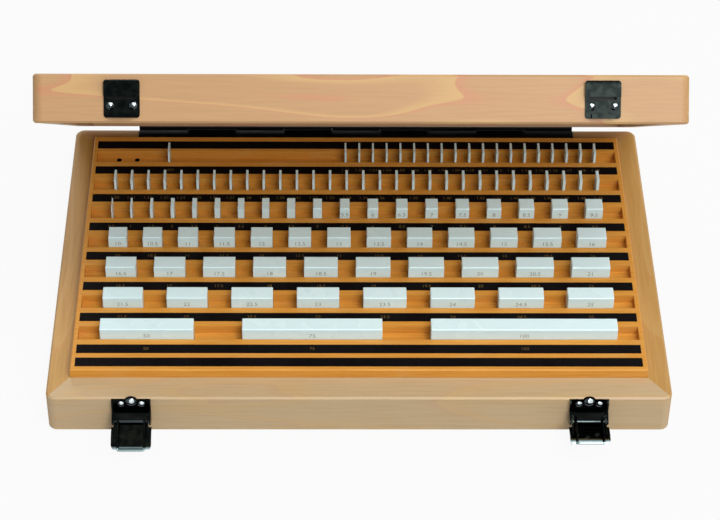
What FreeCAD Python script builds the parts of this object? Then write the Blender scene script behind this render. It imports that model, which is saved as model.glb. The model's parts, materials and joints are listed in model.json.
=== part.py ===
import FreeCAD, Part
import math
import os

# A 103-piece gauge block set in its hinged wooden case, lid standing open.
# Millimetres. X runs along the case, Y from its front to its back, Z up.
# The origin is the centre of the underside of the case.

# ---- driving dimensions -------------------------------------------------

CASE_WIDTH = 330.0
CASE_DEPTH = 221.0
BASE_HEIGHT = 24.8
LID_HEIGHT = 24.6
RIM_GAP = 0.3
LID_OPEN_DEG = 39.9
CORNER_RADIUS = 5.0
ARRIS = 1.0

BASE_RAILS = {"front": 15.2, "rear": 13.1, "side": 11.8}
LID_RAILS = {"front": 13.5, "rear": 12.0, "side": 11.0}
PANEL_REBATE = 5.0
BOTTOM_PANEL = 2.0
TOP_PANEL = 5.0

INSERT_GAP = 0.2
INSERT_TOP = 30.3
INSERT_ARRIS = 0.6
TROUGH_WIDTH = 10.0
TROUGH_DEPTH = 5.0
LEDGE = 4.0
ROW_PITCH = 24.4
STRIP_WIDTH = 6.4
STRIP_LENGTH = 301.0
STRIP_THICK = 0.55
STRIP_PROUD = 0.15
STRIP_8_Y = -79.4
STRIP_9_Y = -89.3
STRIP_1_Y = 89.5
ROW_SPAN = 277.0
PIN_HOLES = [-138.0, -127.5]
PIN_HOLE_RADIUS = 1.5
PIN_HOLE_DEPTH = 8.0
PIN_HOLE_INSET = 0.8

BLOCK_SECTION = 9.0
SHORT_BLOCK = 30.0
TALL_BLOCK = 35.0
BLOCK_TOP = 37.1
BLOCK_CHAMFER = 0.35
POCKET_GAP = 0.15

HINGE_LENGTH = 256.0
HINGE_BEHIND = 2.4
KNUCKLES = 9
KNUCKLE_RADIUS = 2.0
HINGE_PIN_RADIUS = 1.0
RUNNING_GAP = 0.05
KNUCKLE_GAP = 0.3
KNUCKLE_SIDES = 16
LEAF_THICK = 0.9
LEAF_WIDTH = 11.5
LEAF_SCREWS = 4
SCREW_HEAD_RADIUS = 1.9
SCREW_RADIUS = 0.9
SCREW_LENGTH = 8.0

LATCHES = {"left": -120.0, "right": 121.0}
SHEET = 0.7
RIVET_SHANK = 0.7
RIVET_LENGTH = 6.0
ROUND_SIDES = 12
WIRE_SIDES = 8
EAR_SIDES = 6
EYE_SIDES = 5
HEAD_PROFILE = [(1.0, 0.0), (0.8, 0.6), (0.35, 1.0)]

LATCH_PLATE_WIDTH = 20.6
LATCH_PLATE_Z = (7.4, 24.2)
LATCH_TAB_RADIUS = 3.6
LATCH_TAB_Z = 22.6
LATCH_WALL = 0.8
LATCH_WALL_HEIGHT = 2.2
LATCH_WALL_END = 1.2
EAR_FLARE = 2.4
LATCH_RIVETS = {"x": 5.4, "z": 21.0, "radius": 1.9, "height": 0.6}
DOME = {"radius": 2.9, "height": 1.3}
PIVOT_OUT = 5.5
PIVOT_Z = 12.9
EAR_RADIUS = 2.0
LATCH_PIN_RADIUS = 0.9

LEVER_OPEN_DEG = {"left": -23.0, "right": 5.0}
LEVER_HALF = 10.6
LEVER_NECK = 9.2
LEVER_FLOOR = -1.6
LEVER_SHEET = 0.8
LEVER_FLAT = 11.6
LEVER_CURL = 5.0
LEVER_CURL_DEG = 40.0
LEVER_EYE = (-0.7, 2.9)
LEVER_EYE_RADIUS = 1.4
LEVER_TIP = 15.4
LEVER_SHOULDER = 2.6
LEVER_CORNER = 3.2
LEVER_HEEL = -1.0
LEVER_FLANGE = [(-1.0, -2.4), (8.6, -2.4), (8.6, -1.2), (3.0, 1.2)]
LEVER_FLANGE_BACK = (-2.1, 0.6)
LEVER_RIM = [(4.0, -2.4), (11.2, -2.4), (11.2, -1.7), (10.0, -0.8), (5.4, -0.8), (4.0, -1.6)]
LEVER_RIM_THICK = 0.6

BAIL_REST_DEG = -14.0
BAIL_LENGTH = 17.1
BAIL_HALF = 7.0
BAIL_WIRE = 0.6
BAIL_BEND = 1.0
BAIL_BEND_STEPS = 3

CATCH_HALF = 9.0
CATCH_Z = (2.6, 21.8)
CATCH_LIP = {"half": 5.8, "out": 3.8, "height": 2.3}
CATCH_CORNER = 1.6
CATCH_CAP_Z = 13.5
CATCH_CAP_OUT = 2.5
CATCH_CAP_ROUND = 1.7
CATCH_SLOT = {"half": 7.2, "z": (11.9, 13.9), "depth": 4.5}
CATCH_RIVETS = {"x": 5.8, "z": 8.7, "radius": 2.1, "height": 0.8}

# ---- values that follow from them ---------------------------------------

HALF_W = CASE_WIDTH / 2
HALF_D = CASE_DEPTH / 2
FRONT = -HALF_D
REAR = HALF_D
LID_RIM = BASE_HEIGHT + RIM_GAP
LID_TOP = LID_RIM + LID_HEIGHT
HINGE_Y = REAR + HINGE_BEHIND
HINGE_Z = BASE_HEIGHT + RIM_GAP / 2
X_AXIS = FreeCAD.Vector(1, 0, 0)
Y_AXIS = FreeCAD.Vector(0, 1, 0)
Z_AXIS = FreeCAD.Vector(0, 0, 1)


# ---- small tools ---------------------------------------------------------

def point(x, y, z):
    return FreeCAD.Vector(x, y, z)


def box(x0, x1, y0, y1, z0, z1):
    return Part.makeBox(x1 - x0, y1 - y0, z1 - z0, point(x0, y0, z0))


def rod_x(radius, x0, x1, y, z):
    return Part.makeCylinder(radius, x1 - x0, point(x0, y, z), X_AXIS)


def ring(radius, centre, axis, sides):
    """A regular outline: small round parts have flat sides to stay light."""
    return Part.makePolygon(Part.makeCircle(radius, centre, axis).discretize(sides + 1))


def small_rod(radius, start, way, length, sides):
    return Part.Face(ring(radius, start, way, sides)).extrude(way * length)


def small_head(stations, start, way):
    """A small turned form through (radius, distance along the way) stations."""
    rings = [ring(radius, start + way * along, way, ROUND_SIDES) for radius, along in stations]
    return Part.makeLoft(rings, True, True)


def nose(y, z, radius, from_deg, steps):
    """Points (y, z) half way round a rounded end, counted from the front towards up."""
    turns = [math.radians(from_deg + 180.0 * i / steps) for i in range(steps + 1)]
    return [(y - radius * math.cos(turn), z + radius * math.sin(turn)) for turn in turns]


def prism_x(outline, x0, x1):
    """A prism along X from an outline of (y, z) points."""
    corners = [point(x0, y, z) for y, z in outline]
    face = Part.Face(Part.makePolygon(corners + corners[:1]))
    return face.extrude(point(x1 - x0, 0, 0))


def prism_z(outline, z0, z1):
    """A prism along Z from an outline of (x, y) points."""
    corners = [point(x, y, z0) for x, y in outline]
    face = Part.Face(Part.makePolygon(corners + corners[:1]))
    return face.extrude(point(0, 0, z1 - z0))


def joined(shapes):
    return shapes[0].multiFuse(shapes[1:]).removeSplitter()


def cut_by(shape, tools):
    return shape.cut(Part.makeCompound(tools)) if tools else shape


def opened(shape):
    """Turn a shape modelled on the closed lid to the lid's open position."""
    moved = shape.copy()
    moved.rotate(point(0, HINGE_Y, HINGE_Z), X_AXIS, -LID_OPEN_DEG)
    return moved


def save(name, shapes):
    """Write one node: a single solid, or a group of separate solids."""
    solids = []
    for shape in shapes:
        solids.extend(shape.Solids)
    node = solids[0] if len(solids) == 1 else Part.makeCompound(solids)
    node.exportStep("parts/" + name + ".step")


# ---- wooden frames -------------------------------------------------------

def rounded_block(z0, z1):
    """The outside of the case between two heights, with eased edges."""
    body = box(-HALF_W, HALF_W, -HALF_D, HALF_D, z0, z1)
    upright = [e for e in body.Edges if abs(e.BoundBox.ZLength - (z1 - z0)) < 1e-6]
    body = body.makeFillet(CORNER_RADIUS, upright)
    outline = [e for e in body.Edges if e.BoundBox.ZLength < 1e-6]
    return body.makeChamfer(ARRIS, outline)


def inner_limits(rails):
    side = HALF_W - rails["side"]
    return side, FRONT + rails["front"], REAR - rails["rear"]


def mitred_rails(rails, z0, z1, panel_z0, panel_z1):
    """Four rails with mitred corners, rebated on the inside for a panel."""
    side, front, rear = inner_limits(rails)
    frame = rounded_block(z0, z1)
    hollow = box(-side, side, front, rear, z0, z1)
    rebate = panel_body(rails, panel_z0, panel_z1)
    frame = cut_by(frame, [hollow, rebate])
    outer = [(-HALF_W, -HALF_D), (HALF_W, -HALF_D), (HALF_W, HALF_D), (-HALF_W, HALF_D)]
    inner = [(-side, front), (side, front), (side, rear), (-side, rear)]
    pieces = {}
    for index, name in enumerate(["front", "right", "rear", "left"]):
        following = (index + 1) % 4
        plan = [outer[index], outer[following], inner[following], inner[index]]
        pieces[name] = frame.common(prism_z(plan, z0, z1))
    return pieces


def panel_body(rails, z0, z1):
    side, front, rear = inner_limits(rails)
    reach = PANEL_REBATE
    return box(-side - reach, side + reach, front - reach, rear + reach, z0, z1)


# ---- rows of gauge blocks ------------------------------------------------

def stepped(first, last, step):
    count = int(round((last - first) / step)) + 1
    return [round(first + i * step, 3) for i in range(count)]


def spread(sizes, x0, x1):
    """Place blocks between two ends with equal gaps, smallest on the left."""
    gap = (x1 - x0 - sum(sizes)) / (len(sizes) - 1)
    placed = []
    x = x0
    for size in sizes:
        placed.append((size, x))
        x += size + gap
    return placed


SMALLEST_BLOCK_X = -109.0
HUNDREDTHS_X = -6.9
END = ROW_SPAN / 2
ROWS = {
    1: [(1.005, SMALLEST_BLOCK_X)] + spread(stepped(1.01, 1.19, 0.01), HUNDREDTHS_X, END),
    2: spread(stepped(1.20, 1.49, 0.01), -END, END),
    3: spread(stepped(0.5, 9.5, 0.5), -END, END),
    4: spread(stepped(10.0, 16.0, 0.5), -END, END),
    5: spread(stepped(16.5, 21.0, 0.5), -END, END),
    6: spread(stepped(21.5, 25.0, 0.5), -END, END),
    7: spread([50.0, 75.0, 100.0], -END, END),
}
SINGLE_BLOCK_ROWS = [6, 7]
SMALLEST_CHAMFERED = 5.0


def trough_y(row):
    """Front and rear edge of a row's trough, behind its label strip."""
    strip = STRIP_8_Y + (7 - row) * ROW_PITCH
    front = strip + STRIP_WIDTH / 2 + LEDGE
    return front, front + TROUGH_WIDTH


def block_height(size):
    return SHORT_BLOCK if size <= 10.0 else TALL_BLOCK


def gauge_block(row, size, x):
    front, rear = trough_y(row)
    y0 = (front + rear - BLOCK_SECTION) / 2
    z0 = BLOCK_TOP - block_height(size)
    block = box(x, x + size, y0, y0 + BLOCK_SECTION, z0, BLOCK_TOP)
    if row in SINGLE_BLOCK_ROWS:
        return block.makeChamfer(BLOCK_CHAMFER, block.Edges)
    if size >= SMALLEST_CHAMFERED:
        top = [e for e in block.Edges if e.BoundBox.ZMin > BLOCK_TOP - 1e-6]
        return block.makeChamfer(BLOCK_CHAMFER, top)
    return block


def size_name(size):
    return ("%g" % size).replace(".", "_")


# ---- slotted insert and label strips ------------------------------------

def strip_centres():
    rows = [STRIP_8_Y + i * ROW_PITCH for i in range(7)]
    return [STRIP_1_Y] + rows[::-1] + [STRIP_9_Y]


def label_strip(y):
    half = STRIP_WIDTH / 2
    top = INSERT_TOP + STRIP_PROUD
    return box(-STRIP_LENGTH / 2, STRIP_LENGTH / 2, y - half, y + half, top - STRIP_THICK, top)


def slotted_insert():
    side, front, rear = inner_limits(BASE_RAILS)
    x1 = side - INSERT_GAP
    y0 = front + INSERT_GAP
    y1 = rear - INSERT_GAP
    body = box(-x1, x1, y0, y1, BOTTOM_PANEL, INSERT_TOP)
    rim = [e for e in body.Edges if e.BoundBox.ZMin > INSERT_TOP - 1e-6]
    body = body.makeChamfer(INSERT_ARRIS, rim)
    tools = []
    trough_end = STRIP_LENGTH / 2
    floor = INSERT_TOP - TROUGH_DEPTH
    for row, blocks in ROWS.items():
        front, rear = trough_y(row)
        tools.append(box(-trough_end, trough_end, front, rear, floor, INSERT_TOP))
        for size, x in blocks:
            bottom = BLOCK_TOP - block_height(size)
            tools.append(box(x - POCKET_GAP, x + size + POCKET_GAP, front, rear, bottom, floor))
    front, rear = trough_y(1)
    for x in PIN_HOLES:
        centre = point(x, rear - PIN_HOLE_RADIUS - PIN_HOLE_INSET, floor - PIN_HOLE_DEPTH)
        tools.append(Part.makeCylinder(PIN_HOLE_RADIUS, PIN_HOLE_DEPTH, centre, Z_AXIS))
    tools.extend(label_strip(y) for y in strip_centres())
    return cut_by(body, tools)


# ---- fasteners -----------------------------------------------------------

def domed_rivet(x, z, radius, height, rest_on):
    """A nail with a domed head, standing on a plate of the front face."""
    seat = point(x, FRONT - rest_on, z)
    dome = [(radius * across, height * up) for across, up in HEAD_PROFILE]
    shank = small_rod(RIVET_SHANK, seat, Y_AXIS, RIVET_LENGTH, WIRE_SIDES)
    return joined([small_head(dome, seat, -Y_AXIS), shank])


def rivet_hole(x, z):
    start = point(x, FRONT - SHEET, z)
    return small_rod(RIVET_SHANK, start, Y_AXIS, SHEET + RIVET_LENGTH, WIRE_SIDES)


def leaf_screw_places():
    pitch = HINGE_LENGTH / LEAF_SCREWS
    return [-HINGE_LENGTH / 2 + pitch * (i + 0.5) for i in range(LEAF_SCREWS)]


def leaf_screw(x, z_head, way):
    """A countersunk screw: head flush with z_head, driven the given way."""
    start = point(x, REAR - LEAF_WIDTH / 2, z_head)
    head = small_head([(SCREW_HEAD_RADIUS, 0), (SCREW_RADIUS, LEAF_THICK)], start, way)
    shank = small_rod(SCREW_RADIUS, start + way * LEAF_THICK, way, SCREW_LENGTH, WIRE_SIDES)
    return joined([head, shank])


# ---- piano hinge ---------------------------------------------------------

def knuckle_spans():
    length = HINGE_LENGTH / KNUCKLES
    spans = []
    for i in range(KNUCKLES):
        x0 = -HINGE_LENGTH / 2 + i * length
        spans.append((x0 + KNUCKLE_GAP / 2, x0 + length - KNUCKLE_GAP / 2))
    return spans


def hinge_pin():
    start = point(-HINGE_LENGTH / 2, HINGE_Y, HINGE_Z)
    return small_rod(HINGE_PIN_RADIUS, start, X_AXIS, HINGE_LENGTH, ROUND_SIDES)


def hinge_bore():
    """A flat-sided bore whose sides clear the pin by the running gap."""
    radius = (HINGE_PIN_RADIUS + RUNNING_GAP) / math.cos(math.pi / ROUND_SIDES)
    start = point(-HALF_W, HINGE_Y, HINGE_Z)
    return small_rod(radius, start, X_AXIS, CASE_WIDTH, ROUND_SIDES)


def hinge_leaf(z0, z1, own, bore):
    """A leaf let into a rim, with its share of the knuckles behind it."""
    half = HINGE_LENGTH / 2
    pieces = [box(-half, half, REAR - LEAF_WIDTH, REAR - KNUCKLE_GAP, z0, z1)]
    for x0, x1 in knuckle_spans()[own::2]:
        start = point(x0, HINGE_Y, HINGE_Z)
        pieces.append(small_rod(KNUCKLE_RADIUS, start, X_AXIS, x1 - x0, KNUCKLE_SIDES))
        pieces.append(box(x0, x1, REAR - KNUCKLE_GAP, HINGE_Y, z0, z1))
    return joined(pieces).cut(bore)


def leaf_recess(z0, z1):
    half = HINGE_LENGTH / 2 + KNUCKLE_GAP
    return box(-half, half, REAR - LEAF_WIDTH, REAR, z0, z1)


# ---- draw latches --------------------------------------------------------

def latch_plate(centre):
    """The plate on the base: a tab on top, side walls and two pivot ears."""
    half = LATCH_PLATE_WIDTH / 2
    z0, z1 = LATCH_PLATE_Z
    face = FRONT - SHEET
    sheet = box(-half, half, face, FRONT, z0, z1)
    tab = Part.makeCylinder(LATCH_TAB_RADIUS, SHEET, point(0, face, LATCH_TAB_Z), Y_AXIS)
    wall_y = FRONT - LATCH_WALL_HEIGHT
    pivot_y = FRONT - PIVOT_OUT
    wall = [(FRONT, z0), (wall_y, z0 + LATCH_WALL_END)]
    wall += nose(pivot_y, PIVOT_Z, EAR_RADIUS, -90, EAR_SIDES)
    wall += [(wall_y, PIVOT_Z + EAR_RADIUS + EAR_FLARE), (wall_y, z1 - LATCH_WALL_END), (FRONT, z1)]
    pieces = [sheet, tab]
    for x0, x1 in [(-half, -half + LATCH_WALL), (half - LATCH_WALL, half)]:
        pieces.append(prism_x(wall, x0, x1))
    plate = joined(pieces)
    plate = cut_by(plate, [rivet_hole(x, z) for x, z in latch_rivet_places()])
    plate.translate(point(centre, 0, 0))
    return plate.cut(latch_pin(centre))


def latch_rivet_places():
    x = LATCH_RIVETS["x"]
    z = LATCH_RIVETS["z"]
    return [(-x, z), (x, z), (0, LATCH_TAB_Z)]


def latch_rivets(centre):
    x = LATCH_RIVETS["x"]
    z = LATCH_RIVETS["z"]
    radius = LATCH_RIVETS["radius"]
    height = LATCH_RIVETS["height"]
    heads = [domed_rivet(centre + side * x, z, radius, height, SHEET) for side in (-1, 1)]
    heads.append(domed_rivet(centre, LATCH_TAB_Z, DOME["radius"], DOME["height"], SHEET))
    return heads


def latch_pin(centre):
    """A pivot pin riveted flush with the outside of both ears."""
    start = point(centre - LATCH_PLATE_WIDTH / 2, FRONT - PIVOT_OUT, PIVOT_Z)
    return small_rod(LATCH_PIN_RADIUS, start, X_AXIS, LATCH_PLATE_WIDTH, ROUND_SIDES)


def lever_point(u, w):
    """A place on the lever: u out along it from the pivot, w off its floor side."""
    return FRONT - PIVOT_OUT - u, PIVOT_Z + w


def lever_sheet():
    """The lever's floor, curling outwards at the tip for a finger."""
    top = LEVER_FLOOR
    low = LEVER_FLOOR - LEVER_SHEET
    centre_w = top - LEVER_CURL

    def on_arc(radius, degrees):
        turn = math.radians(degrees)
        y, z = lever_point(LEVER_FLAT + radius * math.sin(turn), centre_w + radius * math.cos(turn))
        return point(-LEVER_HALF, y, z)

    def on_flat(u, w):
        y, z = lever_point(u, w)
        return point(-LEVER_HALF, y, z)

    inner = LEVER_CURL - LEVER_SHEET
    half_turn = LEVER_CURL_DEG / 2
    edges = [
        Part.LineSegment(on_flat(LEVER_HEEL, top), on_flat(LEVER_FLAT, top)).toShape(),
        Part.Arc(on_flat(LEVER_FLAT, top), on_arc(LEVER_CURL, half_turn),
                 on_arc(LEVER_CURL, LEVER_CURL_DEG)).toShape(),
        Part.LineSegment(on_arc(LEVER_CURL, LEVER_CURL_DEG), on_arc(inner, LEVER_CURL_DEG)).toShape(),
        Part.Arc(on_arc(inner, LEVER_CURL_DEG), on_arc(inner, half_turn),
                 on_flat(LEVER_FLAT, low)).toShape(),
        Part.LineSegment(on_flat(LEVER_FLAT, low), on_flat(LEVER_HEEL, low)).toShape(),
        Part.LineSegment(on_flat(LEVER_HEEL, low), on_flat(LEVER_HEEL, top)).toShape(),
    ]
    face = Part.Face(Part.Wire(edges))
    return face.extrude(point(2 * LEVER_HALF, 0, 0))


def lever_plan():
    """The lever seen from above: a neck between the ears, then a wider handle."""
    heel_y = lever_point(LEVER_HEEL, 0)[0]
    shoulder_y = lever_point(LEVER_SHOULDER, 0)[0]
    tip_y = lever_point(LEVER_TIP, 0)[0]
    z0 = PIVOT_Z - LEVER_TIP
    z1 = PIVOT_Z
    neck = box(-LEVER_NECK, LEVER_NECK, tip_y, heel_y, z0, z1)
    handle = box(-LEVER_HALF, LEVER_HALF, tip_y, shoulder_y, z0, z1)
    upright = [e for e in handle.Edges if e.BoundBox.ZLength > 1 and e.BoundBox.YMax < tip_y + 1e-6]
    handle = handle.makeFillet(LEVER_CORNER, upright)
    return joined([neck.cut(box(-LEVER_HALF, LEVER_HALF, tip_y, shoulder_y, z0, z1)), handle])


def latch_lever(centre, open_deg):
    """A stamped channel: floor, two eyed flanges inside the ears, two side rims."""
    eye_y, eye_z = lever_point(*LEVER_EYE)
    flange = [lever_point(u, w) for u, w in LEVER_FLANGE]
    flange += nose(eye_y, eye_z, LEVER_EYE_RADIUS, 0, EYE_SIDES)
    flange.append(lever_point(*LEVER_FLANGE_BACK))
    rim = [lever_point(u, w) for u, w in LEVER_RIM]
    pieces = [lever_sheet().common(lever_plan())]
    pieces.append(prism_x(flange, -LEVER_NECK, LEVER_SHEET - LEVER_NECK))
    pieces.append(prism_x(flange, LEVER_NECK - LEVER_SHEET, LEVER_NECK))
    pieces.append(prism_x(rim, -LEVER_HALF, LEVER_RIM_THICK - LEVER_HALF))
    pieces.append(prism_x(rim, LEVER_HALF - LEVER_RIM_THICK, LEVER_HALF))
    lever = joined(pieces)
    pivot_y, pivot_z = lever_point(0, 0)
    holes = [
        rod_x(LATCH_PIN_RADIUS + RUNNING_GAP, -LEVER_HALF, LEVER_HALF, pivot_y, pivot_z),
        rod_x(BAIL_WIRE + RUNNING_GAP, -LEVER_HALF, LEVER_HALF, eye_y, eye_z),
    ]
    return posed(cut_by(lever, holes), centre, open_deg)


def posed(shape, centre, open_deg):
    """Turn a lever piece about the pivot and move it along the case."""
    pivot_y, pivot_z = lever_point(0, 0)
    shape.rotate(point(0, pivot_y, pivot_z), X_AXIS, -open_deg)
    shape.translate(point(centre, 0, 0))
    return shape


def rounded_path(corners, radius, steps):
    """A path through square corners, each eased by a few short chords."""
    path = [corners[0]]
    for before, corner, after in zip(corners, corners[1:], corners[2:]):
        come = (corner - before).normalize()
        leave = (after - corner).normalize()
        centre = corner + (leave - come) * radius
        for i in range(steps + 1):
            turn = math.radians(90.0 * i / steps)
            path.append(centre + (come * math.sin(turn) - leave * math.cos(turn)) * radius)
    return path + [corners[-1]]


def latch_bail(centre, open_deg):
    """A wire loop whose turned ends sit in the lever's eyes."""
    eye_y, eye_z = lever_point(*LEVER_EYE)
    cross_y = eye_y - BAIL_LENGTH
    half = BAIL_HALF
    plan = [(-LEVER_NECK, eye_y), (-half, eye_y), (-half, cross_y),
            (half, cross_y), (half, eye_y), (LEVER_NECK, eye_y)]
    path = rounded_path([point(x, y, eye_z) for x, y in plan], BAIL_BEND, BAIL_BEND_STEPS)
    section = ring(BAIL_WIRE, path[0], X_AXIS, WIRE_SIDES)
    mitred = 1
    wire = Part.Wire(Part.makePolygon(path)).makePipeShell([section], True, False, mitred)
    wire.rotate(point(0, eye_y, eye_z), X_AXIS, -BAIL_REST_DEG)
    return posed(wire, centre, open_deg)


# ---- catch plates on the lid --------------------------------------------

def catch_plate(centre):
    """A folded plate: a lip the bail pulls on, rivets, a slot and a hemmed top."""
    z0 = LID_RIM + CATCH_Z[0]
    z1 = LID_RIM + CATCH_Z[1]
    cap_z = LID_RIM + CATCH_CAP_Z
    back = FRONT - SHEET
    cap_y = FRONT - CATCH_CAP_OUT
    sheet = box(-CATCH_HALF, CATCH_HALF, back, FRONT, z0, z1)
    hem = box(-CATCH_HALF, CATCH_HALF, cap_y, FRONT, cap_z, z1)
    top_edge = [e for e in hem.Edges if e.BoundBox.ZMin > z1 - 1e-6 and e.BoundBox.YMax < cap_y + 1e-6]
    hem = hem.makeFillet(CATCH_CAP_ROUND, top_edge)
    gap = box(-CATCH_HALF, CATCH_HALF, cap_y + SHEET, back, cap_z, z1 - 2 * SHEET)
    lip_half = CATCH_LIP["half"]
    lip_y = FRONT - CATCH_LIP["out"]
    lip_top = z0 + CATCH_LIP["height"]
    floor = box(-lip_half, lip_half, lip_y, FRONT, z0, z0 + SHEET)
    lip = box(-lip_half, lip_half, lip_y, lip_y + SHEET, z0, lip_top)
    plate = joined([sheet, hem.cut(gap), floor, lip])
    outline = box(-CATCH_HALF, CATCH_HALF, lip_y, FRONT, z0, z1)
    corners = [e for e in outline.Edges if e.BoundBox.YLength > SHEET]
    plate = plate.common(outline.makeFillet(CATCH_CORNER, corners))
    slot_half = CATCH_SLOT["half"]
    s0, s1 = CATCH_SLOT["z"]
    tools = [box(-slot_half, slot_half, back, FRONT, LID_RIM + s0, LID_RIM + s1)]
    for side in (-1, 1):
        tools.append(rivet_hole(side * CATCH_RIVETS["x"], LID_RIM + CATCH_RIVETS["z"]))
    plate = cut_by(plate, tools)
    plate.translate(point(centre, 0, 0))
    return plate


def catch_rivets(centre):
    z = LID_RIM + CATCH_RIVETS["z"]
    radius = CATCH_RIVETS["radius"]
    height = CATCH_RIVETS["height"]
    return [domed_rivet(centre + side * CATCH_RIVETS["x"], z, radius, height, SHEET) for side in (-1, 1)]


# ---- build every node ----------------------------------------------------

os.makedirs("parts", exist_ok=True)

base_rivet_heads = []
lid_rivet_heads = []
for centre in LATCHES.values():
    base_rivet_heads.extend(latch_rivets(centre))
    lid_rivet_heads.extend(catch_rivets(centre))
base_screws = [leaf_screw(x, BASE_HEIGHT, -Z_AXIS) for x in leaf_screw_places()]
lid_screws = [leaf_screw(x, LID_RIM, Z_AXIS) for x in leaf_screw_places()]

base_rails = mitred_rails(BASE_RAILS, 0.0, BASE_HEIGHT, 0.0, BOTTOM_PANEL)
base_rails["front"] = cut_by(base_rails["front"], base_rivet_heads)
leaf_z0 = BASE_HEIGHT - LEAF_THICK
base_rails["rear"] = cut_by(base_rails["rear"], [leaf_recess(leaf_z0, BASE_HEIGHT)] + base_screws)
for name, rail in base_rails.items():
    save("base_" + name + "_rail", [rail])
save("base_bottom_panel", [panel_body(BASE_RAILS, 0.0, BOTTOM_PANEL)])

lid_rails = mitred_rails(LID_RAILS, LID_RIM, LID_TOP, LID_TOP - TOP_PANEL, LID_TOP)
slot_pockets = []
for centre in LATCHES.values():
    slot_z0, slot_z1 = CATCH_SLOT["z"]
    slot_pockets.append(box(centre - CATCH_SLOT["half"], centre + CATCH_SLOT["half"],
                            FRONT, FRONT + CATCH_SLOT["depth"], LID_RIM + slot_z0, LID_RIM + slot_z1))
lid_rails["front"] = cut_by(lid_rails["front"], lid_rivet_heads + slot_pockets)
leaf_z1 = LID_RIM + LEAF_THICK
lid_rails["rear"] = cut_by(lid_rails["rear"], [leaf_recess(LID_RIM, leaf_z1)] + lid_screws)
for name, rail in lid_rails.items():
    save("lid_" + name + "_rail", [opened(rail)])
save("lid_top_panel", [opened(panel_body(LID_RAILS, LID_TOP - TOP_PANEL, LID_TOP))])

save("slotted_insert", [slotted_insert()])
for number, y in enumerate(strip_centres(), start=1):
    save("label_strip_%d" % number, [label_strip(y)])

for row, blocks in ROWS.items():
    solids = [gauge_block(row, size, x) for size, x in blocks]
    if row in SINGLE_BLOCK_ROWS:
        for (size, x), solid in zip(blocks, solids):
            save("gauge_block_" + size_name(size), [solid])
    else:
        save("gauge_blocks_row_%d" % row, solids)

base_leaf = hinge_leaf(leaf_z0, BASE_HEIGHT, 0, hinge_pin())
save("hinge_base_leaf", [cut_by(base_leaf, base_screws)])
save("hinge_base_screws", base_screws)
save("hinge_pin", [hinge_pin()])
lid_leaf = hinge_leaf(LID_RIM, leaf_z1, 1, hinge_bore())
save("hinge_lid_leaf", [opened(cut_by(lid_leaf, lid_screws))])
save("hinge_lid_screws", [opened(screw) for screw in lid_screws])

for side, centre in LATCHES.items():
    save("latch_plate_" + side, [latch_plate(centre)])
    save("latch_pin_" + side, [latch_pin(centre)])
    save("latch_lever_" + side, [latch_lever(centre, LEVER_OPEN_DEG[side])])
    save("latch_bail_" + side, [latch_bail(centre, LEVER_OPEN_DEG[side])])
    save("catch_plate_" + side, [opened(catch_plate(centre))])
save("latch_rivets", base_rivet_heads)
save("catch_rivets", [opened(rivet) for rivet in lid_rivet_heads])
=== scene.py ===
import json
import math

import bmesh
import bpy
from mathutils import Matrix, Vector


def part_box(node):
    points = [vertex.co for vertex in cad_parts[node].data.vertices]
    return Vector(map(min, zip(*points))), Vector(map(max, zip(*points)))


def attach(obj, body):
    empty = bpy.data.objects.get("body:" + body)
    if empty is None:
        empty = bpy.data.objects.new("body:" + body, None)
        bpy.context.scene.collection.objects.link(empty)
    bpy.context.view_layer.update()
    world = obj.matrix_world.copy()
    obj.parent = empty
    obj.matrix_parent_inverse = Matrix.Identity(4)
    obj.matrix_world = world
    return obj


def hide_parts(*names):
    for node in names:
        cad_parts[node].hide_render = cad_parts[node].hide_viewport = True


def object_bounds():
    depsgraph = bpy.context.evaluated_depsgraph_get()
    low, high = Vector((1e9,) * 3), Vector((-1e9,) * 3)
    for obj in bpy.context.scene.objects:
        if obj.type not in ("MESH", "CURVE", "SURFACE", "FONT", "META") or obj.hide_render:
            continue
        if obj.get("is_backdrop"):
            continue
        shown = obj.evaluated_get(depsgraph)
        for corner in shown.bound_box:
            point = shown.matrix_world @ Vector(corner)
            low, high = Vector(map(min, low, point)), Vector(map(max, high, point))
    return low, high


# A cased set of ceramic gauge blocks, lid standing open, on a white floor.
# Metres, in the part's own frame: X along the case, Y to its back, Z up.

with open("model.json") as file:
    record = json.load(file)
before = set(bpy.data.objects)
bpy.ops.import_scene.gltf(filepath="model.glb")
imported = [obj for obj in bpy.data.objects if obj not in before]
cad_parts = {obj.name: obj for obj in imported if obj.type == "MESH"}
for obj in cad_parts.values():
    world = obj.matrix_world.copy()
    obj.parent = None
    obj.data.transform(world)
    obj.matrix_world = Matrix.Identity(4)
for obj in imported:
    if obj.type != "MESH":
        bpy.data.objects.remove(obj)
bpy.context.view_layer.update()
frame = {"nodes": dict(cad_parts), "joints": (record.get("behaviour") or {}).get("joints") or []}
parts = frame["nodes"]
MM = 0.001

# ---- sizes and places ----------------------------------------------------

CAMERA_PLACE = Vector((-0.0185, -1.006, 0.947))
CAMERA_LOOKS_DOWN = math.radians(42.6)
CAMERA_LOOKS_RIGHT = math.radians(1.13)
CAMERA_LEAN = math.radians(0.84)
CAMERA_LENS = 122.2
CAMERA_SENSOR = 36.0

PRINT_LIFT = 0.03 * MM
STRIP_NUMERAL = 3.0 * MM
BLOCK_NUMERAL = 3.7 * MM
BLOCK_NUMERAL_BELOW_TOP = 4.7 * MM
SMALLEST_NUMBERED = 5.5

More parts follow.
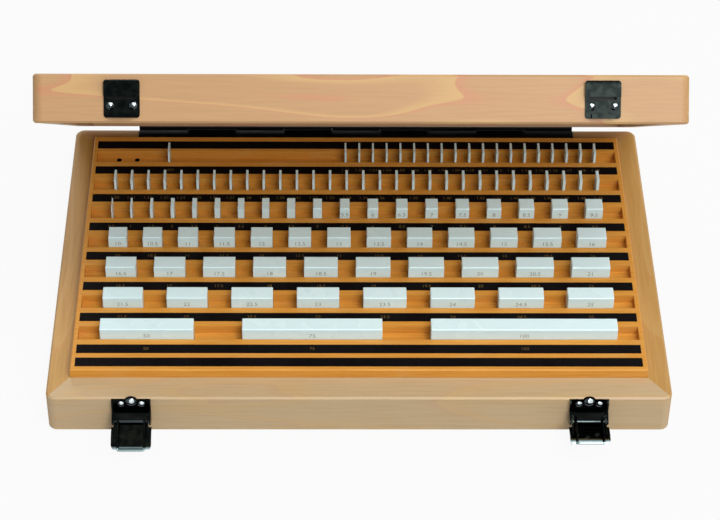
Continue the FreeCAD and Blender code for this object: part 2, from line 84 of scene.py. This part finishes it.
LATCH_RIVET = {"x": 5.4 * MM, "up": 13.6 * MM, "radius": 1.9 * MM, "height": 0.6 * MM}
LATCH_DOME = {"x": 0.0, "up": 15.2 * MM, "radius": 2.9 * MM, "height": 1.3 * MM}
CATCH_RIVET = {"x": 5.8 * MM, "up": 6.1 * MM, "radius": 2.1 * MM, "height": 0.9 * MM}
SHEET = 0.7 * MM
# Nail-head faces turned towards this direction take a bright nickel: a painted highlight.
HIGHLIGHT_FACING = Vector((0.12, -0.92, 0.38)).normalized()
HIGHLIGHT_SPREAD = math.radians(20)
# Where the painted reflection lies on each lever and bail, measured from its tip along Y.
PAINTED_REFLECTION_LIPS = {
    "latch_lever_left": (0.2 * MM, 1.1 * MM),
    "latch_lever_right": (2.6 * MM, 3.4 * MM),
    "latch_bail_left": (0.9 * MM, 1.6 * MM),
    "latch_bail_right": (0.9 * MM, 1.6 * MM),
}

TROUGH_DEPTH = 5.0 * MM
# The black sleeves set in these holes are painted shade.
PIN_HOLES = (-138.0 * MM, -127.5 * MM)
PIN_HOLE = {"radius": 1.46 * MM, "back": 2.7 * MM, "depth": 7.8 * MM, "wall": 0.2 * MM}
HINGE_HALF = 128.0 * MM
KNUCKLES = 9
KNUCKLE = {"radius": 2.03 * MM, "bore": 1.9 * MM, "ease": 0.12 * MM, "gap": 0.03 * MM}
# Size of the black cup behind each catch slot, put there as painted shade.
SLOT_SHADE_CUP = {"half": 7.15 * MM, "up": (9.35 * MM, 11.25 * MM), "depth": 4.4 * MM, "wall": 0.3 * MM}

STRIP_ROWS = range(1, 8)
NUMBERED_ROWS = range(3, 8)
FIRST_BLOCK = 1.005
FIRST_BLOCK_IN = 0.5 * MM
HUNDREDTHS_FROM = -6.9 * MM

FLOOR_HALF = 4.0
FLOOR_DROP = 0.2 * MM
FLOOR_GREY = (0.45, 0.45, 0.45, 1.0)
FLOOR_GLOW_SHARE = 0.93
ROOM_TINT = (0.92, 0.97, 1.0, 1.0)
ROOM_STRENGTH = 0.36
LAMP_TINT = (1.0, 1.0, 0.99)
CASE_MIDDLE = (0.0, 0.0, 0.03)
LID_MIDDLE = (0.0, 0.0, 0.1)

# ---- the lid's turn ------------------------------------------------------

hinge = next(joint for joint in frame["joints"] if joint["child"] == "lid")
lid_open = -math.radians(hinge["range_deg"][0])
hinge_place = Matrix.Translation(Vector(hinge["pos_m"]))
LID_TURN = hinge_place @ Matrix.Rotation(-lid_open, 4, "X") @ hinge_place.inverted()


def closed_box(name):
    """The corners of a lid piece as it lies with the lid shut."""
    back = LID_TURN.inverted()
    corners = [back @ vertex.co for vertex in parts[name].data.vertices]
    low = Vector(min(corner[axis] for corner in corners) for axis in range(3))
    high = Vector(max(corner[axis] for corner in corners) for axis in range(3))
    return low, high


# ---- materials -----------------------------------------------------------

def shade(red, green, blue):
    """A colour given as it looks on paper, from 0 to 255, made linear."""
    return tuple(((level / 255 + 0.055) / 1.055) ** 2.4 for level in (red, green, blue)) + (1.0,)


CLOUD_EDGES = (0.35, 0.68)
GLOSS_EDGES = (0.3, 0.7)
GLOSS_SPREAD = (0.8, 1.25)
TOOTH_DEPTH = 0.02 * MM
TOOTH_SCALE = 2600.0
NICKEL_CLOUD = 240.0
# The bright tone of the painted reflection on the lever and bail tips.
LIP_REFLECTION_NICKEL = shade(140, 160, 162)

WOOD_ROUGHNESS = 0.42
FIGURE_STRETCH = 7
FIGURE_SCALE = 5.6
FIGURE_RINGS = 6
EARLY_WOOD_FADE = (0.34, 0.0)
RING_LINE_RISE = (0.86, 0.99)
STREAKS = {"stretch": 26, "scale": 34, "detail": 3, "edges": (0.35, 0.75), "strength": 0.45}
FLECKS = {"stretch": 9, "scale": 420, "detail": 1, "edges": (0.62, 0.72), "strength": 0.30}
GRAIN_RELIEF = 0.12
GRAIN_DEPTH = 0.1 * MM

# Each wood has a pale tone, a deep tone and the blush of its ring lines.
EARLY_WOOD = shade(204, 166, 108)
LID_TONES = (shade(186, 144, 100), shade(173, 131, 88), shade(194, 130, 96))
FRONT_TONES = (shade(194, 168, 130), shade(178, 149, 108), shade(194, 154, 120))
# The rear rail's tones are the wood's own, darkened to paint the shade of the open lid over it.
SHADED_RIM_TONES = (shade(188, 144, 90), shade(168, 122, 66), shade(190, 134, 84))
SIDE_TONES = (shade(190, 146, 80), shade(164, 118, 54), shade(196, 138, 80))
PANEL_TONES = (shade(206, 166, 120), shade(190, 148, 102), shade(212, 156, 116))
INSERT_TONES = (shade(217, 152, 65), shade(191, 121, 35), shade(217, 144, 63))


def plain_finish(name, colour, roughness, metallic=0.0, specular=0.5):
    finish = bpy.data.materials.new(name)
    finish.use_nodes = True
    surface = finish.node_tree.nodes["Principled BSDF"]
    surface.inputs["Base Color"].default_value = colour
    surface.inputs["Roughness"].default_value = roughness
    surface.inputs["Metallic"].default_value = metallic
    surface.inputs["Specular IOR Level"].default_value = specular
    return finish


def noise_layer(tree, coordinates, scale, detail, distortion=0.0):
    layer = tree.nodes.new("ShaderNodeTexNoise")
    layer.inputs["Scale"].default_value = scale
    layer.inputs["Detail"].default_value = detail
    layer.inputs["Distortion"].default_value = distortion
    tree.links.new(coordinates, layer.inputs["Vector"])
    return layer.outputs["Fac"]


def remapped(tree, value, low, high, peak):
    """A smooth step from 0 at low to peak at high."""
    step = tree.nodes.new("ShaderNodeMapRange")
    step.interpolation_type = "SMOOTHSTEP"
    step.inputs["From Min"].default_value = low
    step.inputs["From Max"].default_value = high
    step.inputs["To Max"].default_value = peak
    tree.links.new(value, step.inputs["Value"])
    return step.outputs["Result"]


def blended(tree, amount, under, over):
    """One colour laid over another; either may be a fixed colour or a socket."""
    mix = tree.nodes.new("ShaderNodeMix")
    mix.data_type = "RGBA"
    tree.links.new(amount, mix.inputs["Factor"])
    for colour, socket in ((under, mix.inputs[6]), (over, mix.inputs[7])):
        if isinstance(colour, bpy.types.NodeSocket):
            tree.links.new(colour, socket)
        else:
            socket.default_value = colour
    return mix.outputs[2]


def mapped(tree, coordinates, turn=0.0, stretch=(1, 1, 1), shift=0.0):
    mapping = tree.nodes.new("ShaderNodeMapping")
    mapping.inputs["Location"].default_value = (shift, shift, shift)
    mapping.inputs["Rotation"].default_value = (turn, 0, 0)
    mapping.inputs["Scale"].default_value = stretch
    tree.links.new(coordinates, mapping.inputs["Vector"])
    return mapping.outputs["Vector"]


def clouded_finish(name, colour, second, roughness, metallic=0.0, specular=0.5,
                   cloud=60.0, tooth=0.2):
    """A hard finish: soft clouds of a second tone and gloss, with a fine tooth."""
    finish = plain_finish(name, colour, roughness, metallic, specular)
    tree = finish.node_tree
    surface = tree.nodes["Principled BSDF"]
    place = tree.nodes.new("ShaderNodeTexCoord").outputs["Object"]
    clouds = noise_layer(tree, place, cloud, 4.0, 0.4)
    toned = remapped(tree, clouds, *CLOUD_EDGES, 1.0)
    tree.links.new(blended(tree, toned, colour, second), surface.inputs["Base Color"])
    gloss = remapped(tree, clouds, *GLOSS_EDGES, roughness * GLOSS_SPREAD[1])
    gloss.node.inputs["To Min"].default_value = roughness * GLOSS_SPREAD[0]
    tree.links.new(gloss, surface.inputs["Roughness"])
    bump = tree.nodes.new("ShaderNodeBump")
    bump.inputs["Strength"].default_value = tooth
    bump.inputs["Distance"].default_value = TOOTH_DEPTH
    tree.links.new(noise_layer(tree, place, TOOTH_SCALE, 2.0), bump.inputs["Height"])
    tree.links.new(bump.outputs["Normal"], surface.inputs["Normal"])
    return finish


def nickel(name, colour, second, roughness):
    return clouded_finish(name, colour, second, roughness, metallic=1.0, cloud=NICKEL_CLOUD)


def along_grain(grain, across):
    """Scale that draws a pattern out along the grain and crowds it across."""
    return (1, across, across) if grain == "X" else (across, 1, across)


def grain_marks(tree, place, grain, marks):
    """Fine marks that run with the grain: streaks or flecks."""
    drawn = mapped(tree, place, stretch=along_grain(grain, marks["stretch"]))
    layer = noise_layer(tree, drawn, marks["scale"], marks["detail"])
    return remapped(tree, layer, *marks["edges"], marks["strength"])


def beech(name, tones, grain="X", on_lid=False, shift=0.0, figure=0.55, specular=0.4):
    """Flat-sawn beech: wandering year rings, fine streaks and short dark flecks."""
    pale, deep, blush = tones
    wood = plain_finish(name, pale, WOOD_ROUGHNESS, specular=specular)
    tree = wood.node_tree
    surface = tree.nodes["Principled BSDF"]
    place = tree.nodes.new("ShaderNodeTexCoord").outputs["Object"]
    turned = mapped(tree, place, turn=lid_open if on_lid else 0.0, shift=shift)

    board = mapped(tree, turned, stretch=along_grain(grain, FIGURE_STRETCH))
    height = noise_layer(tree, board, FIGURE_SCALE, 1.0, 0.25)
    rings = tree.nodes.new("ShaderNodeMath")
    rings.operation = "MULTIPLY"
    rings.inputs[1].default_value = FIGURE_RINGS
    tree.links.new(height, rings.inputs[0])
    saw = tree.nodes.new("ShaderNodeMath")
    saw.operation = "FRACT"
    tree.links.new(rings.outputs[0], saw.inputs[0])
    early_wood = remapped(tree, saw.outputs[0], *EARLY_WOOD_FADE, figure)
    ring_line = remapped(tree, saw.outputs[0], *RING_LINE_RISE, figure)
    streaks = grain_marks(tree, turned, grain, STREAKS)
    flecks = grain_marks(tree, turned, grain, FLECKS)

    colour = blended(tree, streaks, pale, deep)
    colour = blended(tree, early_wood, colour, EARLY_WOOD)
    colour = blended(tree, ring_line, colour, blush)
    colour = blended(tree, flecks, colour, deep)
    tree.links.new(colour, surface.inputs["Base Color"])

    bump = tree.nodes.new("ShaderNodeBump")
    bump.inputs["Strength"].default_value = GRAIN_RELIEF
    bump.inputs["Distance"].default_value = GRAIN_DEPTH
    tree.links.new(streaks, bump.inputs["Height"])
    tree.links.new(bump.outputs["Normal"], surface.inputs["Normal"])
    return wood


base_front_beech = beech("beech_base_front", FRONT_TONES, shift=0.31, figure=0.35)
# Rear rail: beech darkened as painted shade from the lid.
shaded_base_rear_beech = beech("beech_base_rear_shaded", SHADED_RIM_TONES, shift=0.73)
base_side_beech = beech("beech_base_side", SIDE_TONES, grain="Y", shift=0.12, figure=0.3)
lid_front_beech = beech("beech_lid_front", LID_TONES, on_lid=True, shift=2.63, figure=0.62)
lid_rear_beech = beech("beech_lid_rear", LID_TONES, on_lid=True, shift=2.4)
lid_side_beech = beech("beech_lid_side", SIDE_TONES, grain="Y", on_lid=True, shift=0.5)
panel_beech = beech("beech_panel", PANEL_TONES, shift=3.3, figure=0.22)
lid_panel_beech = beech("beech_lid_panel", PANEL_TONES, on_lid=True, shift=4.1, figure=0.22)
insert_beech = beech("oiled_beech_insert", INSERT_TONES, shift=5.2, figure=0.16, specular=0.2)

ceramic = clouded_finish("white_zirconia", shade(221, 246, 249), shade(223, 247, 250), 0.26,
                         cloud=35.0)
ceramic_ink = clouded_finish("etched_grey_numeral", shade(142, 150, 142), shade(158, 166, 158), 0.5)
strip_plastic = clouded_finish("black_label_strip", shade(8, 5, 7), shade(13, 9, 11), 0.6,
                               specular=0.06, tooth=0.5)
strip_ink = clouded_finish("gold_numeral", shade(112, 90, 50), shade(96, 76, 44), 0.6, specular=0.1)
hinge_black = clouded_finish("blackened_hinge", shade(12, 12, 14), shade(18, 18, 20), 0.36,
                             specular=0.12)
# The near-black base colour stands in for the dark room the bright nickel plates reflect: a painted
# reflection.
painted_dark_reflection_nickel = nickel("painted_dark_reflection_nickel", shade(12, 15, 15), shade(22, 26, 24), 0.14)
# Bright nickel for the painted highlight on the nail heads.
painted_highlight_nickel = nickel("painted_highlight_nickel", shade(226, 236, 240), shade(206, 216, 220), 0.10)
nail_nickel = nickel("nail_nickel", shade(66, 74, 76), shade(48, 54, 56), 0.10)


def worn_lip(piece, lip):
    """Dark nickel with a bright band at the outer end of a lever or bail, along Y: a painted
    reflection.
    """
    finish = nickel("painted_reflection_" + piece, shade(12, 15, 15), shade(24, 27, 22), 0.14)
    tree = finish.node_tree
    base_colour = tree.nodes["Principled BSDF"].inputs["Base Color"]
    dark = base_colour.links[0].from_socket
    place = tree.nodes.new("ShaderNodeTexCoord").outputs["Object"]
    split = tree.nodes.new("ShaderNodeSeparateXYZ")
    tree.links.new(place, split.inputs[0])
    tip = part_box(piece)[0].y
    # Mask of the painted reflection near the tip.
    reflection_mask = remapped(tree, split.outputs["Y"], tip + lip[1], tip + lip[0], 1.0)
    tree.links.new(blended(tree, reflection_mask, dark, LIP_REFLECTION_NICKEL), base_colour)
    return finish


def dress(names, finish):
    for name in names:
        for material_slot in parts[name].material_slots:
            material_slot.material = finish


def named(start):
    return [name for name in parts if name.startswith(start)]


dress(["base_front_rail"], base_front_beech)
dress(["base_rear_rail"], shaded_base_rear_beech)
dress(["base_left_rail", "base_right_rail"], base_side_beech)
dress(["base_bottom_panel"], panel_beech)
dress(["lid_front_rail"], lid_front_beech)
dress(["lid_rear_rail"], lid_rear_beech)
dress(["lid_left_rail", "lid_right_rail"], lid_side_beech)
dress(["lid_top_panel"], lid_panel_beech)
dress(["slotted_insert"], insert_beech)
dress(named("gauge_block"), ceramic)
dress(named("label_strip"), strip_plastic)
dress(named("hinge_"), hinge_black)
dress(named("latch_pin"), nail_nickel)
dress(named("latch_plate") + named("catch_plate"), painted_dark_reflection_nickel)
for name, lip in PAINTED_REFLECTION_LIPS.items():
    dress([name], worn_lip(name, lip))


# ---- helpers for new pieces ----------------------------------------------

def finished(name, mesh, finish, body):
    """Put a mesh in the scene as a piece of the part."""
    mesh.materials.clear()
    mesh.materials.append(finish)
    piece = bpy.data.objects.new(name, mesh)
    bpy.context.scene.collection.objects.link(piece)
    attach(piece, body)
    return piece


def plain_mesh(name, shape):
    mesh = bpy.data.meshes.new(name)
    shape.to_mesh(mesh)
    shape.free()
    return mesh


def mesh_of(name, shape, smooth=False):
    """The mesh of a closed shape, its faces turned outward."""
    bmesh.ops.recalc_face_normals(shape, faces=shape.faces)
    mesh = plain_mesh(name, shape)
    if smooth:
        mesh.shade_smooth()
    return mesh


# ---- numerals ------------------------------------------------------------

def numeral(shape, words, height, place):
    """Lay a flat number into a shape; place takes it from its own plane."""
    curve = bpy.data.curves.new("numeral", "FONT")
    curve.body = words
    curve.size = height
    curve.align_x = "CENTER"
    curve.align_y = "CENTER"
    curve.resolution_u = 3
    holder = bpy.data.objects.new("numeral", curve)
    bpy.context.scene.collection.objects.link(holder)
    flat = bpy.data.meshes.new_from_object(holder)
    flat.transform(place)
    shape.from_mesh(flat)
    bpy.data.objects.remove(holder)
    bpy.data.curves.remove(curve)
    bpy.data.meshes.remove(flat)


def stepped(first, last, step):
    count = round((last - first) / step) + 1
    return [round(first + index * step, 3) for index in range(count)]


def spread(sizes, low, high):
    """(size, middle) of blocks set out between two ends with equal gaps."""
    gap = (high - low - sum(sizes) * MM) / (len(sizes) - 1)
    places = []
    x = low
    for size in sizes:
        places.append((size, x + size * MM / 2))
        x += size * MM + gap
    return places


ROW_SIZES = {
    2: stepped(1.20, 1.49, 0.01),
    3: stepped(0.5, 9.5, 0.5),
    4: stepped(10.0, 16.0, 0.5),
    5: stepped(16.5, 21.0, 0.5),
    6: stepped(21.5, 25.0, 0.5),
    7: [50.0, 75.0, 100.0],
}
SIXTH_ROW = ["gauge_block_" + ("%g" % size).replace(".", "_") for size in ROW_SIZES[6]]
SEVENTH_ROW = ["gauge_block_%g" % size for size in ROW_SIZES[7]]


def row_box(row):
    names = {6: SIXTH_ROW, 7: SEVENTH_ROW}.get(row, ["gauge_blocks_row_%d" % row])
    boxes = [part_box(name) for name in names]
    low = Vector(min(box[0][axis] for box in boxes) for axis in range(3))
    high = Vector(max(box[1][axis] for box in boxes) for axis in range(3))
    return low, high


def row_places(row):
    low, high = row_box(row)
    if row == 1:
        hundredths = spread(stepped(1.01, 1.19, 0.01), HUNDREDTHS_FROM, high.x)
        return [(FIRST_BLOCK, low.x + FIRST_BLOCK_IN)] + hundredths
    return spread(ROW_SIZES[row], low.x, high.x)


def size_words(size):
    """A size as it is printed: the fine steps always have two decimals."""
    if size == FIRST_BLOCK:
        return str(FIRST_BLOCK)
    return "%.2f" % size if size < 2 and size * 10 % 5 else "%g" % size


def strip_numerals(row):
    """The gold numbers on the strip in front of a row, one for each block."""
    low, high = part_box("label_strip_%d" % (row + 1))
    shape = bmesh.new()
    for size, x in row_places(row):
        place = Matrix.Translation(Vector((x, (low.y + high.y) / 2, high.z + PRINT_LIFT)))
        numeral(shape, size_words(size), STRIP_NUMERAL, place)
    name = "strip_numerals_%d" % (row + 1)
    finished(name, plain_mesh(name, shape), strip_ink, "base")


def block_numerals(row):
    """The grey numbers on the front faces of the wider blocks of a row."""
    low, high = row_box(row)
    upright = Matrix.Rotation(math.radians(90), 4, "X")
    shape = bmesh.new()
    for size, x in row_places(row):
        if size >= SMALLEST_NUMBERED:
            spot = Vector((x, low.y - PRINT_LIFT, high.z - BLOCK_NUMERAL_BELOW_TOP))
            numeral(shape, "%g" % size, BLOCK_NUMERAL, Matrix.Translation(spot) @ upright)
    name = "block_numerals_row_%d" % row
    finished(name, plain_mesh(name, shape), ceramic_ink, "base")


for row in STRIP_ROWS:
    strip_numerals(row)
for row in NUMBERED_ROWS:
    block_numerals(row)


# ---- domed nails ---------------------------------------------------------

def dome(shape, radius, height, place):
    """A smooth nail head: the cap of a ball, its flat side on the plate."""
    ball = (radius ** 2 + height ** 2) / (2 * height)
    made = bmesh.ops.create_uvsphere(shape, u_segments=40, v_segments=80, radius=ball)
    edges = {edge for corner in made["verts"] for edge in corner.link_edges}
    faces = {face for corner in made["verts"] for face in corner.link_faces}
    cut = bmesh.ops.bisect_plane(shape, geom=made["verts"] + list(edges) + list(faces),
                                 plane_co=(0, 0, ball - height), plane_no=(0, 0, 1),
                                 clear_inner=True)
    rim = [edge for edge in cut["geom_cut"] if isinstance(edge, bmesh.types.BMEdge)]
    bmesh.ops.holes_fill(shape, edges=rim, sides=0)
    cap = [corner for corner in made["verts"] if corner.is_valid]
    cap += [corner for corner in cut["geom_cut"] if isinstance(corner, bmesh.types.BMVert)]
    onto_face = Matrix.Rotation(math.radians(90), 4, "X")
    onto_face = onto_face @ Matrix.Translation((0, 0, height - ball))
    bmesh.ops.transform(shape, matrix=place @ onto_face, verts=list(set(cap)))


def domed_nails(name, sides, finish, highlight_facing, body, replaced):
    """Nail heads of a pair of fittings, with a painted highlight: sides gives (turn, foot,
    measures).
    """
    shape = bmesh.new()
    for turn, foot, measures in sides:
        for way in ((-1, 1) if measures["x"] else (1,)):
            spot = foot + Vector((way * measures["x"], 0, measures["up"]))
            dome(shape, measures["radius"], measures["height"], turn @ Matrix.Translation(spot))
    mesh = mesh_of(name, shape, smooth=True)
    nails = finished(name, mesh, finish, body)
    mesh.materials.append(painted_highlight_nickel)
    # Faces turned towards the highlight direction get the bright nickel: a painted highlight.
    for face in mesh.polygons:
        face.material_index = int(face.normal.angle(highlight_facing) < HIGHLIGHT_SPREAD)
    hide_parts(replaced)


base_nails = []
lid_nails = []
for side in ("left", "right"):
    low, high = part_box("latch_plate_" + side)
    foot = Vector(((low.x + high.x) / 2, high.y - SHEET, low.z))
    base_nails.append((Matrix.Identity(4), foot, LATCH_RIVET))
    base_nails.append((Matrix.Identity(4), foot, LATCH_DOME))
    low, high = closed_box("catch_plate_" + side)
    foot = Vector(((low.x + high.x) / 2, high.y - SHEET, low.z))
    lid_nails.append((LID_TURN, foot, CATCH_RIVET))
domed_nails("latch_nail_heads", base_nails, nail_nickel, HIGHLIGHT_FACING, "base", "latch_rivets")
domed_nails("catch_nail_heads", lid_nails, nail_nickel, LID_TURN.to_3x3() @ HIGHLIGHT_FACING,
            "lid", "catch_rivets")


# ---- hinge sleeves, and black cups and sleeves of painted shade ----------

def knuckle(shape, low, high, centre):
    """A turned tube on the hinge line with eased outer ends."""
    radius, bore, ease = KNUCKLE["radius"], KNUCKLE["bore"], KNUCKLE["ease"]
    outline = [(low, bore), (low, radius - ease), (low + ease, radius),
               (high - ease, radius), (high, radius - ease), (high, bore)]
    corners = [shape.verts.new(centre + Vector((x, 0, out))) for x, out in outline]
    edges = [shape.edges.new(pair) for pair in zip(corners, corners[1:] + corners[:1])]
    bmesh.ops.spin(shape, geom=corners + edges, cent=centre, axis=(1, 0, 0),
                   angle=math.radians(360), steps=36, use_merge=True)


def hinge_sleeves(name, body, first):
    shape = bmesh.new()
    centre = Vector((0, hinge["pos_m"][1], hinge["pos_m"][2]))
    length = 2 * HINGE_HALF / KNUCKLES
    for index in range(first, KNUCKLES, 2):
        low = index * length - HINGE_HALF
        knuckle(shape, low + KNUCKLE["gap"], low + length - KNUCKLE["gap"], centre)
    mesh = mesh_of(name, shape, smooth=True)
    mesh.set_sharp_from_angle(angle=math.radians(30))
    finished(name, mesh, hinge_black, body)


def slot_cup(side):
    """A black cup behind the slot of a catch plate: a dark sheet that paints the shade in the slot.
    """
    low, high = closed_box("catch_plate_" + side)
    middle = (low.x + high.x) / 2
    floor_up, roof_up = (low.z + up for up in SLOT_SHADE_CUP["up"])
    size = (2 * SLOT_SHADE_CUP["half"], SLOT_SHADE_CUP["depth"], roof_up - floor_up)
    spot = Vector((middle, high.y + SLOT_SHADE_CUP["depth"] / 2, (floor_up + roof_up) / 2))
    shape = bmesh.new()
    bmesh.ops.create_cube(shape, size=1.0)
    place = Matrix.Translation(spot) @ Matrix.Diagonal(size + (1.0,))
    bmesh.ops.transform(shape, matrix=place, verts=shape.verts)
    mouth = [face for face in shape.faces
             if face.calc_center_median().y < high.y + SLOT_SHADE_CUP["wall"] and abs(face.normal.y) > 0.9]
    bmesh.ops.delete(shape, geom=mouth, context="FACES_ONLY")
    bmesh.ops.recalc_face_normals(shape, faces=shape.faces)
    bmesh.ops.solidify(shape, geom=shape.faces[:], thickness=SLOT_SHADE_CUP["wall"])
    bmesh.ops.transform(shape, matrix=LID_TURN, verts=shape.verts)
    name = "catch_slot_shade_cup_" + side
    finished(name, mesh_of(name, shape), hinge_black, "lid")


def pin_hole_sleeves():
    """Black sleeves lining the two blind holes at the left of the first row: painted shade in the
    holes.
    """
    row_low, row_high = row_box(1)
    middle = (row_low.y + row_high.y) / 2 + PIN_HOLE["back"]
    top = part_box("slotted_insert")[1].z - TROUGH_DEPTH
    shape = bmesh.new()
    for x in PIN_HOLES:
        place = Matrix.Translation(Vector((x, middle, top - PIN_HOLE["depth"] / 2)))
        bmesh.ops.create_cone(shape, cap_ends=True, segments=32, radius1=PIN_HOLE["radius"],
                              radius2=PIN_HOLE["radius"], depth=PIN_HOLE["depth"], matrix=place)
    lids = [face for face in shape.faces if face.normal.z > 0.9]
    bmesh.ops.delete(shape, geom=lids, context="FACES_ONLY")
    bmesh.ops.recalc_face_normals(shape, faces=shape.faces)
    bmesh.ops.solidify(shape, geom=shape.faces[:], thickness=PIN_HOLE["wall"])
    name = "pin_hole_sleeves"
    finished(name, mesh_of(name, shape), hinge_black, "base")


pin_hole_sleeves()
hinge_sleeves("hinge_base_sleeves", "base", 0)
hinge_sleeves("hinge_lid_sleeves", "lid", 1)
slot_cup("left")
slot_cup("right")


# ---- floor, light and camera ---------------------------------------------

def seen_directly(tree):
    """1 for camera, glossy and transmission rays, 0 for the light on the part."""
    path = tree.nodes.new("ShaderNodeLightPath")
    total = path.outputs["Is Camera Ray"]
    for other in ("Is Glossy Ray", "Is Transmission Ray"):
        larger = tree.nodes.new("ShaderNodeMath")
        larger.operation = "MAXIMUM"
        tree.links.new(total, larger.inputs[0])
        tree.links.new(path.outputs[other], larger.inputs[1])
        total = larger.outputs[0]
    return total


def white_floor():
    shape = bmesh.new()
    bmesh.ops.create_grid(shape, x_segments=1, y_segments=1, size=FLOOR_HALF)
    floor = bpy.data.objects.new("floor", mesh_of("floor", shape))
    bpy.context.scene.collection.objects.link(floor)
    floor.location.z = -FLOOR_DROP
    paper = plain_finish("white_paper", FLOOR_GREY, 0.9)
    tree = paper.node_tree
    glow = tree.nodes.new("ShaderNodeEmission")
    mix = tree.nodes.new("ShaderNodeMixShader")
    share = tree.nodes.new("ShaderNodeMath")
    share.operation = "MULTIPLY"
    share.inputs[1].default_value = FLOOR_GLOW_SHARE
    tree.links.new(seen_directly(tree), share.inputs[0])
    tree.links.new(share.outputs[0], mix.inputs["Fac"])
    tree.links.new(tree.nodes["Principled BSDF"].outputs[0], mix.inputs[1])
    tree.links.new(glow.outputs[0], mix.inputs[2])
    tree.links.new(mix.outputs[0], tree.nodes["Material Output"].inputs["Surface"])
    floor.data.materials.append(paper)
    floor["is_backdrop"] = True


def white_world():
    world = bpy.data.worlds.new("white_room")
    bpy.context.scene.world = world
    world.use_nodes = True
    tree = world.node_tree
    room = tree.nodes["Background"]
    room.inputs["Color"].default_value = ROOM_TINT
    room.inputs["Strength"].default_value = ROOM_STRENGTH
    backdrop = tree.nodes.new("ShaderNodeBackground")
    backdrop.inputs["Color"].default_value = (1, 1, 1, 1)
    mix = tree.nodes.new("ShaderNodeMixShader")
    tree.links.new(seen_directly(tree), mix.inputs["Fac"])
    tree.links.new(room.outputs[0], mix.inputs[1])
    tree.links.new(backdrop.outputs[0], mix.inputs[2])
    tree.links.new(mix.outputs[0], tree.nodes["World Output"].inputs["Surface"])


def soft_lamp(name, place, aim, size, power):
    light = bpy.data.lights.new(name, "AREA")
    light.shape = "SQUARE"
    light.size = size
    light.energy = power
    light.color = LAMP_TINT
    lamp = bpy.data.objects.new(name, light)
    lamp.location = place
    lamp.rotation_euler = (Vector(aim) - Vector(place)).to_track_quat("-Z", "Y").to_euler()
    bpy.context.scene.collection.objects.link(lamp)
    lamp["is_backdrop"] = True


def fixed_camera():
    camera = bpy.data.objects.new("camera", bpy.data.cameras.new("camera"))
    camera.data.sensor_width = CAMERA_SENSOR
    camera.data.lens = CAMERA_LENS
    turn = Matrix.Rotation(-CAMERA_LOOKS_RIGHT, 4, "Z")
    turn = turn @ Matrix.Rotation(math.radians(90) - CAMERA_LOOKS_DOWN, 4, "X")
    turn = turn @ Matrix.Rotation(CAMERA_LEAN, 4, "Z")
    camera.matrix_world = Matrix.Translation(CAMERA_PLACE) @ turn
    bpy.context.scene.collection.objects.link(camera)
    bpy.context.scene.camera = camera


white_floor()
white_world()
soft_lamp("key_front", (0.80, -2.05, 1.90), CASE_MIDDLE, 1.2, 38.0)
soft_lamp("overhead", (0.50, -0.60, 2.60), CASE_MIDDLE, 1.0, 22.0)
soft_lamp("side_right", (0.95, -0.30, 0.95), CASE_MIDDLE, 0.5, 2.8)
soft_lamp("low_front", (0.0, -1.45, 0.35), CASE_MIDDLE, 0.4, 0.9)
soft_lamp("rear_fill", (-0.6, 2.2, 1.5), LID_MIDDLE, 1.2, 16.0)
fixed_camera()
bpy.context.scene.view_settings.view_transform = "Standard"

low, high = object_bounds()
